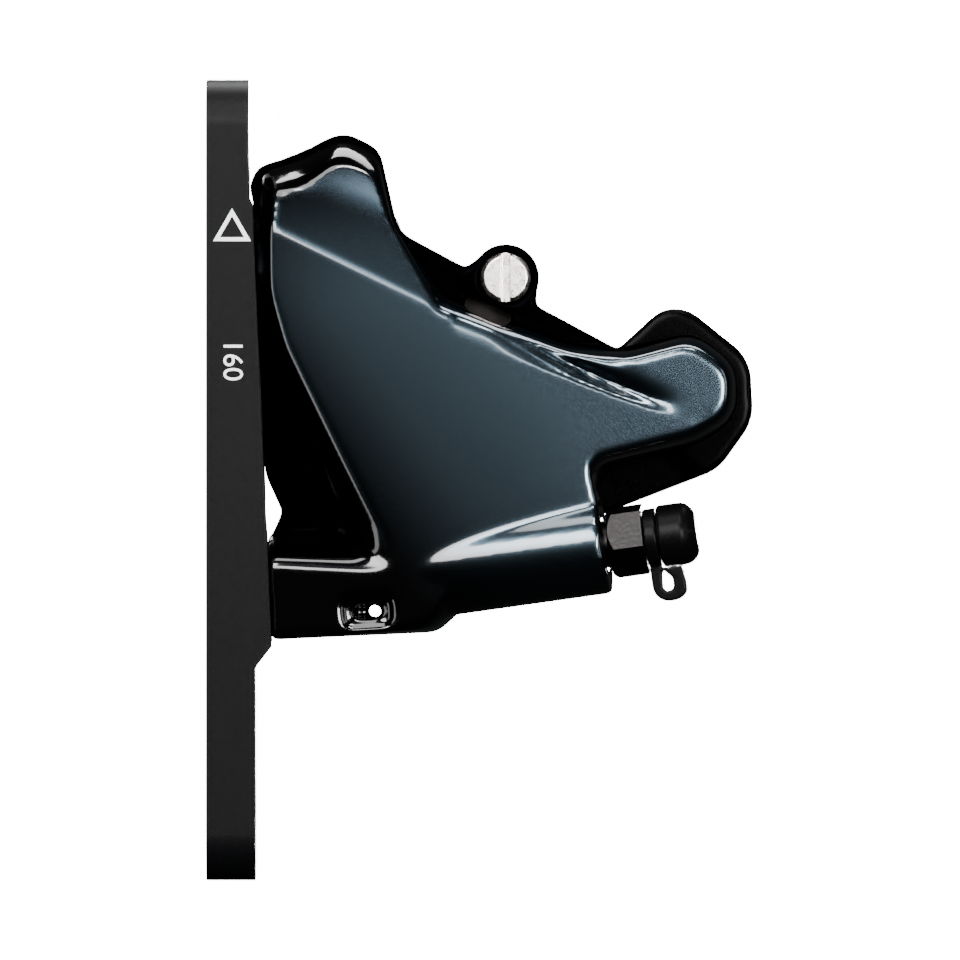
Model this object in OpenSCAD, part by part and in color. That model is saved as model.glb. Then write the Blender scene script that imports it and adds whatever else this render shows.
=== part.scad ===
// Hydraulic disc brake caliper for a bicycle fork, bolted to its flat mounting bracket.
// Origin: middle of the bracket's fork face. X points away from the fork, Y towards the wheel, Z up.
// The caliper is drawn in its seat frame: x off the bracket's seat, y from the rotor's plane, z along
// the seat. A depth is a distance from the rotor's plane, outwards in each half.

/* [Bracket] */
// Length of the bracket along the fork
bracket_len = 86; // [82:1:96]
// Width of the bracket across the fork
bracket_w = 15; // [13:0.5:18]
// Thickness of the upper end
bracket_top_t = 4.6; // [3.6:0.1:4.8]
// Thickness of the lower end
bracket_low_t = 5.3; // [4:0.1:6]
// Radius of the bracket's end corners
bracket_corner_r = 5; // [2:0.5:6]
// Distance between the two fork bolts
fork_bolt_spacing = 70; // [66:0.5:72]
// Width of each fork bolt slot
fork_slot_w = 5.5; // [5.2:0.1:6]
// Length of each fork bolt slot, across the bracket
fork_slot_len = 8.5; // [7:0.1:9.5]
// Length of the seat that carries the caliper
seat_len = 47.5; // [46:0.5:50]
// Thickness of the bracket at the middle of the seat
seat_t = 6; // [5.8:0.1:8]
// Height of the seat's middle above the bracket's middle
seat_shift = 5.9; // [4:0.1:7]
// Angle that the seat leans by, in degrees
wedge_angle = 2.5; // [0:0.1:3]

/* [Caliper bolts] */
// Distance between the two caliper bolts
caliper_bolt_spacing = 34; // [32:0.5:35]
// Thread diameter of the caliper bolts and the body bolts
bolt_d = 5; // [4:0.1:5.2]
// Head diameter of the caliper bolts and the body bolts
bolt_head_d = 8.5; // [7.5:0.1:9]
// Head height of the caliper bolts
caliper_bolt_head_h = 2.8; // [2:0.1:3]
// Bracket thickness gripped under each caliper bolt head
caliper_bolt_grip = 2.3; // [2:0.1:2.5]
// Length of thread in the caliper
caliper_bolt_reach = 10.4; // [8:0.1:11]
// Width of the hexagon sockets across flats
bolt_socket = 4; // [3:0.5:4.5]

/* [Rotor space] */
// Rotor diameter
rotor_d = 160; // [158:1:162]
// Rotor thickness
rotor_t = 1.8; // [1.6:0.1:2]
// Distance of the rotor's plane from the bracket's middle
rotor_y = 14; // [13:0.1:15]
// Width of the slot that the rotor runs in
rotor_slot = 5; // [4.6:0.1:5.4]
// Space between the rotor's rim and the bridge
rotor_rim_gap = 2; // [1.5:0.1:2.5]
// Distance of the piston axis from the rotor's axis
braking_r = 70; // [69:0.1:71]
// Angle that the pads lean by from the seat's direction, in degrees
pad_lean = 28.5; // [26:0.5:31]

/* [Pistons] */
// Piston diameter
piston_d = 20; // [18:0.1:20.6]
// Piston length
piston_len = 8; // [7:0.1:8.4]
// Wall of the hollow piston
piston_wall = 2; // [1.5:0.1:3]
// Distance of the piston axis from the seat
piston_x = 18.2; // [17.6:0.1:19]
// Height of the piston axis above the seat's middle
piston_z = 0.1; // [-0.5:0.1:0.6]
// Space behind each resting piston
piston_rest_gap = 0.5; // [0.3:0.1:1]
// Width of the piston seal
seal_w = 2; // [1.6:0.1:2.2]
// Radial thickness of the piston seal
seal_t = 1; // [0.8:0.1:1.2]

/* [Pads] */
// Width of the backing plates
pad_w = 22.8; // [20:0.1:23.2]
// Height of a backing plate below the piston axis
pad_drop = 8.7; // [8:0.1:9]
// Height of a backing plate's shoulders above the piston axis
pad_rise = 9.3; // [8.6:0.1:9.6]
// Thickness of the backing plates
pad_plate_t = 2; // [1.6:0.1:2.2]
// Thickness of the linings
lining_t = 2; // [1.5:0.1:2.2]
// Gap between each lining and the rotor
lining_gap = 0.4; // [0.2:0.05:0.6]
// Diameter of the pad axle
axle_d = 3.9; // [3:0.1:4.2]
// Diameter of the pad axle's slotted head
axle_head_d = 5.4; // [5:0.1:5.8]
// Distance of the pad axle from the piston axis
axle_rise = 17; // [16.6:0.1:17.4]
// Thickness of the spring's sheet metal
spring_t = 0.4; // [0.3:0.05:0.5]

/* [Body] */
// Distance of the bridge lobe's end from the seat
body_reach = 52.9; // [51.9:0.1:54.9]
// Depth of the outboard half's face
outboard_t = 20; // [19.5:0.1:21]
// Depth of the inboard half's face
inboard_t = 16.5; // [16:0.1:18]
// Depth of both flanges beside the pads
flange_t = 9.5; // [9:0.1:10]
// Fold of the upper lobe's face at the ridge, in degrees
ridge_fold = 18; // [12:0.5:22]
// Radius of the ears that hold the pad axle
ear_r = 3.6; // [3.4:0.1:4]
// Depth of the thread for the body bolts in the outboard half
body_bolt_reach = 9; // [7:0.1:9.6]
// Head height of the body bolts
body_bolt_head_h = 5; // [4:0.1:5]
// Thickness gripped under the body bolt heads
body_bolt_grip = 6.5; // [5:0.1:7]

/* [Hose port] */
// Diameter of the hose port's thread
port_d = 7.2; // [6.8:0.1:7.6]
// Depth of the hose port
port_depth = 7; // [6:0.1:7.5]
// Diameter of the port's spot face
port_face_d = 9.4; // [8.6:0.1:10]
// Diameter of the fluid drillings
drill_d = 1.8; // [1.4:0.1:2]

/* [Bleed nipple] */
// Radius of the bleed boss
boss_r = 5.3; // [5:0.1:5.6]
// Upward tilt of the bleed boss from the seat's normal, in degrees
boss_tilt = 5.5; // [3:0.5:7]
// Outward tilt of the bleed boss, in degrees
boss_splay = 6; // [4:0.5:8]
// Diameter of the nipple's thread
nipple_d = 6; // [5:0.1:6.4]
// Width of the nipple's hexagon across flats
nipple_hex = 7; // [6.6:0.1:8]
// Length of the nipple's hexagon
nipple_hex_len = 3.9; // [3:0.1:5]
// Diameter of the nipple's tip
nipple_tip_d = 3.8; // [3:0.1:4.2]
// Length of the nipple's tip
nipple_tip_len = 4; // [3:0.1:5]
// Diameter of the rubber cap
cap_d = 6.7; // [6.2:0.1:7]
// Length of the rubber cap
cap_len = 4.1; // [4:0.1:6]
// Thickness of the tether's strap
strap_t = 1.15; // [0.8:0.05:1.3]
// Width of the tether's strap
strap_w = 2; // [1.5:0.1:2.6]

/* [Fits] */
// Radial running clearance of pistons, axle and nipple
run_fit = 0.05; // [0.02:0.01:0.09]
// Radial clearance of threads and seals
thread_fit = 0.04; // [0.02:0.01:0.09]
// Radial clearance of bolt shanks and heads in their holes
bolt_fit = 0.25; // [0.15:0.05:0.4]
// Clearance of the pads in their pocket
pad_fit = 0.3; // [0.2:0.05:0.4]
// Gap between each piston and its pad
touch_gap = 0.05; // [0.02:0.01:0.1]

/* [Hidden] */
$fn = 64;
// Extra length of cutters past a face
eps = 1;
// Points on each rounded corner of an outline
corner_steps = 5;
// Shortest run that a shallow corner takes from each of its edges
corner_min = 1;
// Half angle past which a corner is shallow
shallow_angle = 75;
// Rings on the rounded sides of a half
dome_steps = 6;

// Heights of the two caliper bolts in the seat frame
bolt_z = caliper_bolt_spacing / 2;
// Depths of the pads and pistons from the rotor's plane
lining_d = rotor_t / 2 + lining_gap;
plate_d = lining_d + lining_t;
plate_back_d = plate_d + pad_plate_t;
piston_face_d = plate_back_d + touch_gap;
pocket_d = plate_back_d + pad_fit;
bore_end_d = piston_face_d + piston_len + piston_rest_gap;
seal_d = pocket_d + 1.4;
// The pad axle stands a little past the pads' middle
axle_x = 0.6;
pad_x0 = axle_x - 0.1 - pad_w / 2;
pad_x1 = pad_x0 + pad_w;
tab_r = 2.9;
// Places of the body bolts and of the fluid port between the halves
body_bolt_at = [[11.6, 19.7], [body_reach - 9.3, 1.4]];
transfer_at = [7.2, 23];
transfer_r = 2.2;
transfer_depth = 1;
// The hose port: its mouth, depth from the rotor's plane and tilt follow the lobe's sloping top
port_at = [5.2, 29.1];
port_d_from_rotor = 5;
port_tilt = 22;
// Middle of the bleed boss's end face, level with the lower caliper bolt and under the face
boss_at = [36.3, 2.6 - bolt_z];
boss_depth = outboard_t - 3.2;
boss_low = boss_at.y - boss_r;
boss_len = 20;
boss_bore_len = 8.6;
// Where the drillings from the hose port meet the end of a bore
bore_side = [piston_x - piston_d / 2 * cos(30), -bore_end_d + drill_d / 2, piston_z + piston_d / 2 * sin(30)];
// Stop pin window in the lower leg
pin_at = [11.2, 3.5];
pin_r = 0.75;
window = [5.4, 3.4, 0.6];
slot_w = 1.5;
slot_reach = 3;
slot_deep = 3;
// The sight window under the axle's ear: along the pads, from the piston axis, size
sight_at = [0.5, 12.85];
sight = [5.4, 1.7];
ear_face_step = 1.5;
// The ridge starts here and leans with the pads
ridge_at = [2.6, 21];
// Run of the chamfers at the pads' lower corners
pad_foot = 4;
// Groove between the ridge's end and the bridge lobe: where its lips start, bend and meet, and its depth
groove_low = [[23.5, 9.75], [40.5, -0.6]];
groove_high = [[24.5, 11], [40.6, 2.95]];
groove_tip = [body_reach - 6.3, -0.5];
groove_deep = 2.2;
groove_steps = 10;
// Height of the groove's cutter over the face
groove_over = 0.3;
// Foot boss round the upper caliper bolt
foot_r = 5.2;
foot_len = 7;
// The lower leg reaches this far below and above the lower bolt
leg_low = 6.1;
leg_rim = 2;
leg_root = 5.2;

// Unit vector
function unit(v) = v / norm(v);
// Arc of n + 1 points that replaces corner p between its neighbours a and b
function corner(p, a, b, r, n) =
    let (u = unit(a - p), w = unit(b - p))
    let (half = acos(max(-1, min(1, u * w))) / 2)
    let (run = max(r / tan(half), half > shallow_angle ? corner_min : 0))
    let (t = min(run, 0.45 * norm(a - p), 0.45 * norm(b - p)))
    let (rr = t * tan(half), c = p + unit(u + w) * rr / sin(half))
    let (s = p + u * t - c, e = p + w * t - c)
    let (a0 = atan2(s.y, s.x), turn = atan2(e.y, e.x) - a0)
    let (sweep = turn > 180 ? turn - 360 : turn < -180 ? turn + 360 : turn)
    [for (k = [0 : n]) c + rr * [cos(a0 + sweep * k / n), sin(a0 + sweep * k / n)]];
function xy(v) = [v[0], v[1]];
// Outline with rounded corners from a list of [x, z, radius]
function outline(vs, n = corner_steps) =
    let (m = len(vs))
    [for (i = [0 : m - 1])
        each corner(xy(vs[i]), xy(vs[(i + m - 1) % m]), xy(vs[(i + 1) % m]), vs[i][2], n)];
// Corner list drawn in by k, clockwise order
function inset(vs, k) =
    let (m = len(vs))
    [for (i = [0 : m - 1])
        let (p = xy(vs[i]))
        let (u = unit(p - xy(vs[(i + m - 1) % m])), w = unit(xy(vs[(i + 1) % m]) - p))
        let (nu = [u.y, -u.x], nw = [w.y, -w.x], turn = u.x * w.y - u.y * w.x)
        let (q = p + (nu + nw) * k / (1 + nu * nw))
        [q.x, q.y, max(0.6, vs[i][2] + (turn < 0 ? -k : k))]];

// Indices of the outline points from the one end of a run to the other, out of n
function run(r, n) =
    let (a = r[0][0] * (corner_steps + 1) + r[0][1] * corner_steps)
    let (b = r[1][0] * (corner_steps + 1) + r[1][1] * corner_steps)
    [for (i = [0 : (b - a + n) % n]) (a + i) % n];
// List without its first value, backwards
function reversed(f) = [for (i = [1 : len(f) - 1]) f[len(f) - i]];

// Point at t on the curve from the first point of v, bent towards its second, to point e
function bend(v, e, t) = v[0] * (1 - t) * (1 - t) + v[1] * 2 * t * (1 - t) + e * t * t;

// Frame of the caliper on the bracket's seat
module seat() {
    translate([seat_t, rotor_y, seat_shift]) rotate([0, -wedge_angle, 0]) children();
}
// Frame of the pads: z is radial to the rotor, through the piston axis
module pads() {
    seat() translate([piston_x, 0, piston_z]) rotate([0, pad_lean, 0]) children();
}
// Frame of one caliper bolt, z into the caliper, up is 1 or -1
module caliper_bolt_frame(up) {
    seat() translate([0, -rotor_y, up * bolt_z]) rotate([0, 90, 0]) children();
}
// Frame of the bleed nipple, x out along its axis from the boss's end face
module bleed() {
    seat() translate([boss_at.x, -boss_depth, boss_at.y])
        rotate([0, -boss_tilt, 0]) rotate([0, 0, -boss_splay]) children();
}
// Frame of the hose port, z out of its mouth
module port() {
    seat() translate([port_at.x, -port_d_from_rotor, port_at.y]) rotate([0, -port_tilt, 0]) children();
}
// The inboard half is drawn as an outboard one and turned over the rotor's plane
module inboard() {
    translate([0, rotor_y, 0]) mirror([0, 1, 0]) translate([0, -rotor_y, 0]) children();
}
// Extrusion of a flat outline between two depths
module slab(d0, d1) {
    translate([0, -d0, 0]) rotate([90, 0, 0]) linear_extrude(d1 - d0) children();
}
// Round bar across the rotor's plane between two depths
module rod(d0, d1, r, at = [0, 0]) {
    translate([at.x, -d0, at.y]) rotate([90, 0, 0]) cylinder(h = d1 - d0, r = r);
}
// Straight drilling between two points
module drilling(p, q, r) {
    v = q - p;
    translate(p) rotate([0, acos(v.z / norm(v)), atan2(v.y, v.x)]) cylinder(h = norm(v), r = r);
}
// Solid whose sides round over from outline low, at depth d0, to outline high.
// Depths of the high outline's points are listed in tops.
// Each end is a set of panels: runs of outline points, from corner and end of its arc to corner and end.
module dome(low, high, d0, tops, panels) {
    n = len(low);
    rings = [for (k = [0 : dome_steps])
        let (a = 90 * k / dome_steps, f = 1 - cos(a))
        for (i = [0 : n - 1])
            let (p = low[i] + (high[i] - low[i]) * f, d = d0 + (tops[i] - d0) * sin(a))
            [p.x, -d, p.y]];
    sides = [for (k = [0 : dome_steps - 1]) for (i = [0 : n - 1])
        let (j = (i + 1) % n)
        each [[k * n + i, k * n + j, (k + 1) * n + j], [k * n + i, (k + 1) * n + j, (k + 1) * n + i]]];
    backs = [for (p = panels) let (f = [for (r = p) each run(r, n)]) [f[0], each reversed(f)]];
    fronts = [for (p = panels) [for (r = p) each [for (i = run(r, n)) dome_steps * n + i]]];
    polyhedron(points = rings, faces = concat(fronts, backs, sides));
}
// Hexagon prism along z, w across flats
module hexagon(w, h) {
    cylinder(h = h, r = w / sqrt(3), $fn = 6);
}

// Corners of the outboard half: its face, the foot of its sides and its flange, clockwise from the lobe
face_low = -bolt_z - leg_low;
face_rim = -bolt_z + leg_rim;
face_root = -bolt_z + leg_root;
face_corners = [
    [2.6, 24.4, 0.8], [5.7, 24.1, 3], [9.3, 26.9, 3], [13.3, 25.4, 3], [15, 20.9, 5], [19.3, 11.5, 1.5],
    [32.4, 6, 2], [39.2, 5, 8], [body_reach - 6.6, 6.5, 3.2], [body_reach - 2.7, 3.6, 3.2],
    [body_reach - 3.2, -0.8, 3], [body_reach - 7.3, -2.7, 6],
    [34.6, -5, 1.6], [boss_at.x + 0.1, boss_at.y, 0.6], [28.4, boss_at.y - 0.6, 200],
    [20.8, boss_at.y - 0.8, 5],
    [16.1, face_low + 0.6, 3], [0, face_low, 0.6], [0, face_rim, 0.6], [11.3, face_rim - 1.1, 2],
    [13.6, face_rim - 0.8, 1.4], [13.2, -12.9, 3], [3, 8.6, 12], [1.5, 14.6, 8],
    [1.8, 20.3, 1]
];
root_corners = [
    [0.9, 27.4, 1.6], [5, 28.6, 3], [10.2, 30.9, 3], [13.7, 28.9, 2.5], [15.1, 20.6, 4], [20.3, 12.9, 1.5],
    [33.2, 7.2, 2], [39.2, 6.2, 8], [body_reach - 6.1, 7.9, 4], [body_reach - 1.7, 4.3, 4],
    [body_reach - 1.9, -1.4, 4], [body_reach - 6.1, -4, 6],
    [35.6, -6.2, 2], [boss_at.x + 0.1, boss_low, 0.6], [28.4, boss_low - 0.5, 8], [21.9, boss_low, 3],
    [17.9, face_low, 3], [0, face_low, 0.6], [0, face_root, 0.6], [5.6, face_root - 0.1, 1.2],
    [6.7, face_root + 0.5, 1.2], [6.6, -9.7, 2], [1.4, 7, 5], [0.5, 12.2, 2],
    [0.2, 20, 4]
];
flange_corners = [
    [0.6, 27.7, 1.8], [10.2, 31.2, 3.2], [13.9, 29.1, 2.6], [15.5, 20.2, 3.4], [38.4, 6.6, 0.8],
    [body_reach - 6.1, 8, 4], [body_reach - 1.6, 4.3, 4], [body_reach - 1.8, -1.5, 4],
    [body_reach - 6, -4.1, 6], [35.6, -6.4, 2], [33.6, boss_low + 0.6, 2], [21.9, boss_low, 3],
    [17.9, face_low, 3], [0, face_low, 0.6], [0, face_root - 1, 0.4], [1.7, -9.4, 0.4], [0, -5.2, 0.8],
    [0, 24.3, 0.1], [-0.25, 25.1, 0.1], [-0.25, 26, 0.2]
];
// Corners of the inboard half, whose bridge lobe reaches past the outboard one
inboard_corners = [
    [0.8, 27.5, 1.6], [10.2, 31, 3.2], [13.8, 29, 2.6], [15.3, 20.1, 4], [38.5, 6.5, 0.8],
    [body_reach - 8, 11.9, 3.8], [body_reach, 4.9, 5], [body_reach, -1.8, 5], [body_reach - 4, -6.9, 5],
    [27, -14.3, 6], [11, -14, 7], [4.6, -4, 6], [1.8, 12, 8]
];
inboard_draw_in = 3.4;
// Panels of the two halves' faces: leg, lower middle, upper middle, shoulder, upper lobe, right lobe
function outboard_panels() = [
    [[[16, 0], [21, 1]], [[15, 1], [15, 1]]],
    [[[21, 1], [21, 1]], [[12, 1], [15, 1]]],
    [[[22, 0], [24, 1]], [[5, 0], [6, 1]], [[12, 0], [12, 1]], [[21, 1], [21, 1]]],
    [[[24, 1], [24, 1]], [[4, 0], [5, 0]]],
    [[[4, 0], [4, 0]], [[24, 1], [3, 1]]],
    [[[12, 0], [12, 0]], [[6, 1], [11, 1]]]
];
// Depth of the outboard face at point p: above the ridge the upper lobe's face folds back
function over_ridge(p) = (p - ridge_at) * [sin(pad_lean), cos(pad_lean)];
function face_depth(p) =
    outboard_t - (p.x < groove_low[0].x ? tan(ridge_fold) * max(0, over_ridge(p)) : 0);
function inboard_panels() = [
    [[[10, 1], [3, 1]]],
    [[[9, 0], [10, 1]], [[3, 1], [8, 1]]]
];

// What both halves leave out: rotor slot, pad pocket, piston bore, seal groove, axle hole
module running_space() {
    pads() {
        rod(-eps, rotor_slot / 2, rotor_d / 2 + rotor_rim_gap, [0, -braking_r], $fn = 128);
        translate([pad_x0 - pad_fit, -pocket_d, -pad_drop - pad_fit])
            cube([pad_w + 2 * pad_fit, pocket_d + eps, pad_drop + axle_rise + 2 * ear_r]);
        rod(-eps, bore_end_d, piston_d / 2 + run_fit);
        rod(seal_d - thread_fit, seal_d + seal_w + thread_fit, piston_d / 2 + seal_t + run_fit + thread_fit);
        rod(pocket_d - eps, outboard_t, axle_d / 2 + thread_fit, [axle_x, axle_rise]);
    }
}
// Ear of the pad axle, flared into its flange
module axle_ear() {
    flare = [[-5.4, -2.6], [-ear_r + 0.1, 0.6], [ear_r - 0.1, 0.6], [4.9, -3]];
    pads() {
        rod(pocket_d - eps, flange_t, ear_r, [axle_x, axle_rise]);
        slab(pocket_d - eps, flange_t) translate([axle_x, axle_rise]) polygon(flare);
    }
}

module mount_bracket() {
    up = seat_len / 2 * [-sin(wedge_angle), cos(wedge_angle)];
    top = [seat_t, seat_shift] + up;
    low = [seat_t, seat_shift] - up;
    ramp = 2 * (top.x - bracket_top_t);
    side = [
        [0, bracket_len / 2], [bracket_top_t, bracket_len / 2], [bracket_top_t, top.y + ramp], top, low,
        [bracket_low_t, low.y - 1.3 * (low.x - bracket_low_t)], [bracket_low_t, -bracket_len / 2],
        [0, -bracket_len / 2]
    ];
    plan = [for (s = [[1, 1], [1, -1], [-1, -1], [-1, 1]])
        [s.x * bracket_len / 2, s.y * bracket_w / 2, bracket_corner_r]];
    color([0.14, 0.14, 0.15]) difference() {
        intersection() {
            slab(-bracket_w / 2, bracket_w / 2) polygon(side);
            rotate([0, -90, 0]) translate([0, 0, -seat_len / 2]) linear_extrude(seat_len)
                polygon(outline(plan, 8));
        }
        for (up = [1, -1]) {
            translate([-eps, 0, up * fork_bolt_spacing / 2]) rotate([0, 90, 0]) {
                for (s = [1, -1])
                    translate([0, s * (fork_slot_len - fork_slot_w) / 2, 0])
                        cylinder(h = seat_t + 3 * eps, r = fork_slot_w / 2);
                translate([-fork_slot_w / 2, -(fork_slot_len - fork_slot_w) / 2, 0])
                    cube([fork_slot_w, fork_slot_len - fork_slot_w, seat_t + 3 * eps]);
            }
            caliper_bolt_frame(up) {
                translate([0, 0, -2 * seat_t]) cylinder(h = 3 * seat_t, r = bolt_d / 2 + bolt_fit);
                translate([0, 0, -2 * seat_t])
                    cylinder(h = 2 * seat_t - caliper_bolt_grip, r = bolt_head_d / 2 + bolt_fit);
            }
        }
    }
}
// Socket head bolt along z: head below zero, shank to reach
module socket_bolt(grip, head_h, reach) {
    difference() {
        union() {
            translate([0, 0, -grip - head_h]) cylinder(h = head_h, r = bolt_head_d / 2);
            translate([0, 0, -grip - head_h / 2]) cylinder(h = grip + head_h / 2 + reach, r = bolt_d / 2);
        }
        translate([0, 0, -grip - head_h - eps]) hexagon(bolt_socket, head_h * 0.6 + eps);
    }
}
module caliper_bolts() {
    color([0.45, 0.45, 0.46]) for (up = [1, -1])
        caliper_bolt_frame(up) socket_bolt(caliper_bolt_grip, caliper_bolt_head_h, caliper_bolt_reach);
}
module body_outboard() {
    color([0.17, 0.21, 0.24]) difference() {
        union() {
            seat() {
                slab(0, flange_t) polygon(outline(flange_corners));
                face = outline(face_corners);
                dome(outline(root_corners), face, flange_t - eps, [for (p = face) face_depth(p)],
                    outboard_panels());
            }
            axle_ear();
            caliper_bolt_frame(1) cylinder(h = foot_len, r = foot_r);
            bleed() rotate([0, -90, 0]) cylinder(h = boss_len, r = boss_r);
        }
        running_space();
        lobe_groove();
        for (up = [1, -1])
            caliper_bolt_frame(up) translate([0, 0, -eps])
                cylinder(h = caliper_bolt_reach + 2 * eps, r = bolt_d / 2 + thread_fit);
        for (at = body_bolt_at)
            seat() rod(-eps, body_bolt_reach + eps, bolt_d / 2 + thread_fit, at);
        pads() {
            rod(flange_t - ear_face_step, outboard_t, axle_head_d / 2 + thread_fit, [axle_x, axle_rise]);
            translate([sight_at.x - sight.x / 2, -outboard_t, sight_at.y - sight.y / 2])
                cube([sight.x, outboard_t, sight.y]);
        }
        port() {
            translate([0, 0, -port_depth]) cylinder(h = port_depth + eps, r = port_d / 2);
            cylinder(h = port_face_d, r = port_face_d / 2);
        }
        bleed() rotate([0, -90, 0]) translate([0, 0, -eps])
            cylinder(h = boss_bore_len + eps, r = nipple_d / 2 + run_fit);
        stop_pin_window();
        fluid_drillings();
    }
}
// Tapering groove between two bent lips: it sinks from the edge, then rises to its tip
module lobe_groove() {
    lip = outboard_t + groove_over;
    rings = [for (k = [0 : groove_steps - 1])
        let (t = k / groove_steps)
        let (low = bend(groove_low, groove_tip, t), high = bend(groove_high, groove_tip, t))
        let (mid = low + (high - low) * 0.3)
        let (deep = outboard_t + groove_over / 3 - groove_deep * sin(180 * pow(t, 0.7)))
        each [[low.x, -lip, low.y], [high.x, -lip, high.y], [mid.x, -deep, mid.y]]];
    n = 3 * groove_steps;
    sides = [for (k = [0 : groove_steps - 2]) for (i = [0 : 2])
        let (a = 3 * k + i, b = 3 * k + (i + 1) % 3)
        each [[a, b, b + 3], [a, b + 3, a + 3]]];
    ends = [[0, 2, 1], [n - 3, n - 2, n], [n - 2, n - 1, n], [n - 1, n - 3, n]];
    tip = [groove_tip.x, -outboard_t, groove_tip.y];
    seat() polyhedron(points = concat(rings, [tip]), faces = concat(sides, ends));
}
// Recessed window, slot and hole for the pin that stops the lower caliper bolt
module stop_pin_window() {
    frame = [for (s = [[1, 1], [1, -1], [-1, -1], [-1, 1]])
        [s.x * window.x / 2, s.y * window.y / 2, 1]];
    seat() translate([pin_at.x, 0, -bolt_z - pin_at.y]) {
        rod(-eps, outboard_t + eps, pin_r);
        translate([(slot_w - slot_reach) / 2, 0, 0]) slab(outboard_t - window.z, outboard_t + eps)
            polygon(outline(frame));
        slab(outboard_t - slot_deep, outboard_t + eps)
            translate([-slot_reach + pin_r, -slot_w / 2]) square([slot_reach, slot_w]);
    }
}
// Drillings from the hose port to both bores and from the outboard bore to the bleed nipple
module fluid_drillings() {
    bore_low = [piston_x + 3, -bore_end_d + drill_d / 2, piston_z - piston_d / 2 + 2];
    seat() {
        rod(-eps, port_d_from_rotor, drill_d / 2, transfer_at);
        drilling([transfer_at.x, -port_d_from_rotor, transfer_at.y], bore_side, drill_d / 2);
        drilling([boss_at.x - boss_bore_len, -boss_depth + 1, boss_at.y - 0.8], bore_low, drill_d / 2);
    }
}
module body_inboard() {
    color([0.1, 0.11, 0.12]) inboard() difference() {
        union() {
            seat() {
                slab(0, flange_t) polygon(outline(inboard_corners));
                face = outline(inset(inboard_corners, inboard_draw_in));
                dome(outline(inboard_corners), face, flange_t - eps, [for (p = face) inboard_t],
                    inboard_panels());
            }
            axle_ear();
        }
        running_space();
        seat() {
            for (at = body_bolt_at) {
                rod(-eps, inboard_t, bolt_d / 2 + bolt_fit, at);
                rod(body_bolt_grip, inboard_t + eps, bolt_head_d / 2 + bolt_fit, at);
            }
            rod(-eps, transfer_depth, transfer_r, transfer_at);
            rod(-eps, flange_t, drill_d / 2, transfer_at);
            drilling([transfer_at.x, -flange_t + drill_d, transfer_at.y],
                bore_side, drill_d / 2);
        }
        pads() rod(flange_t, inboard_t + eps, ear_r + clip_t, [axle_x, axle_rise]);
    }
}
module body_bolts() {
    color([0.35, 0.35, 0.36]) for (at = body_bolt_at)
        seat() translate([at.x, 0, at.y]) rotate([90, 0, 0])
            socket_bolt(body_bolt_grip, body_bolt_head_h, body_bolt_reach);
}
module transfer_seal() {
    ring_r = transfer_depth / 2 - thread_fit;
    color([0.08, 0.08, 0.08]) seat() translate([transfer_at.x, transfer_depth / 2, transfer_at.y])
        rotate([90, 0, 0]) rotate_extrude()
            translate([transfer_r - ring_r - thread_fit, 0]) circle(r = ring_r);
}
module piston() {
    color([0.86, 0.85, 0.82]) pads() difference() {
        rod(piston_face_d, piston_face_d + piston_len, piston_d / 2);
        rod(piston_face_d - eps, piston_face_d + piston_len - piston_wall, piston_d / 2 - piston_wall);
    }
}
module piston_outboard() {
    piston();
}
module piston_inboard() {
    inboard() piston();
}
module piston_seal() {
    color([0.1, 0.1, 0.1]) pads() difference() {
        rod(seal_d, seal_d + seal_w, piston_d / 2 + seal_t + run_fit);
        rod(seal_d - eps, seal_d + seal_w + eps, piston_d / 2 + run_fit);
    }
}
module piston_seal_outboard() {
    piston_seal();
}
module piston_seal_inboard() {
    inboard() piston_seal();
}
// Backing plate: shoulders that bear in the pocket and a tab that hangs on the axle
module pad_plate() {
    neck = tab_r + 1.2;
    shape = [
        [pad_x0, pad_rise, 1.5], [axle_x - neck, pad_rise + 1.4, 1.5],
        [axle_x - tab_r, axle_rise + tab_r, tab_r], [axle_x + tab_r, axle_rise + tab_r, tab_r],
        [axle_x + neck, pad_rise + 1.4, 1.5], [pad_x1, pad_rise, 1.5],
        [pad_x1, 1 - pad_drop, 2], [pad_x1 - pad_foot, -pad_drop, 3], [pad_x0 + pad_foot, -pad_drop, 3],
        [pad_x0, 1 - pad_drop, 2]
    ];
    color([0.5, 0.46, 0.44]) pads() difference() {
        slab(plate_d, plate_back_d) polygon(outline(shape));
        rod(plate_d - eps, plate_back_d + eps, axle_d / 2 + pad_fit, [axle_x, axle_rise]);
    }
}
module pad_plate_outboard() {
    pad_plate();
}
module pad_plate_inboard() {
    inboard() pad_plate();
}
// Friction lining with a wear groove down its middle
module pad_lining() {
    edge = 0.7;
    x0 = pad_x0 + edge;
    x1 = pad_x1 - edge;
    shape = [
        [x0, pad_rise - 1.3, 2], [x1, pad_rise - 1.3, 2], [x1, 1.6 - pad_drop, 2],
        [x1 - pad_foot, edge - pad_drop, 3],
        [x0 + pad_foot, edge - pad_drop, 3], [x0, 1.6 - pad_drop, 2]
    ];
    color([0.28, 0.25, 0.23]) pads() difference() {
        slab(lining_d, plate_d) polygon(outline(shape));
        translate([axle_x - 0.6, -lining_d - lining_t / 2, -pad_drop]) cube([1.2, lining_t, 2 * pad_drop]);
    }
}
module pad_lining_outboard() {
    pad_lining();
}
module pad_lining_inboard() {
    inboard() pad_lining();
}
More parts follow.
